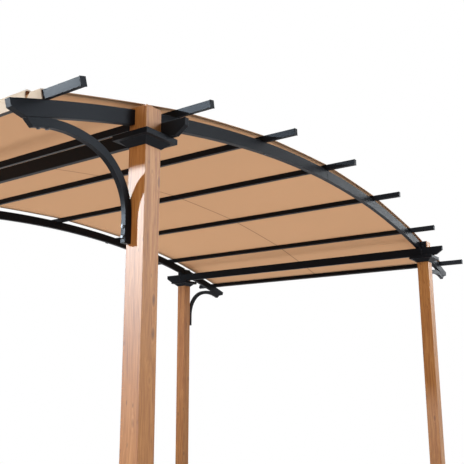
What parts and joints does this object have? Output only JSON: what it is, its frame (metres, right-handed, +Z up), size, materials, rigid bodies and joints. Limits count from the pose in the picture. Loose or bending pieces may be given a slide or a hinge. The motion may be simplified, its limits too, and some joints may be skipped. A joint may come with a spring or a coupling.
{
  "type": "arched garden pergola",
  "caption": "Garden pergola with square wood-look posts, flared collars, black steel arches, curved braces and purlins, and a stretched tan fabric canopy on top.",
  "frame": {"origin": "middle of the four posts, on the ground", "axes": "X along the arches, Y along the beams and purlins, Z up"},
  "size_m": [4.088, 2.516, 2.331],
  "materials": {
    "wood_posts": "satin wood grain",
    "black_steel": "satin powder coat",
    "canopy_cloth": "woven"
  },
  "bodies": {
    "root": {"post_nl": "wood_posts", "post_nr": "wood_posts", "post_fl": "wood_posts", "post_fr": "wood_posts", "foot_nl": "black_steel", "foot_nr": "black_steel", "foot_fl": "black_steel", "foot_fr": "black_steel", "collar_nl": "black_steel", "collar_nr": "black_steel", "collar_fl": "black_steel", "collar_fr": "black_steel", "beam_left": "black_steel", "beam_right": "black_steel", "arch_nl": "black_steel", "arch_nr": "black_steel", "arch_fl": "black_steel", "arch_fr": "black_steel", "tail_nl": "black_steel", "tail_nr": "black_steel", "tail_fl": "black_steel", "tail_fr": "black_steel", "brace_nl": "black_steel", "brace_nr": "black_steel", "brace_fl": "black_steel", "brace_fr": "black_steel", "purlin_1": "black_steel", "purlin_2": "black_steel", "purlin_3": "black_steel", "purlin_4": "black_steel", "purlin_5": "black_steel", "purlin_6": "black_steel", "purlin_7": "black_steel", "canopy": "canopy_cloth"}
  },
  "joints": []
}
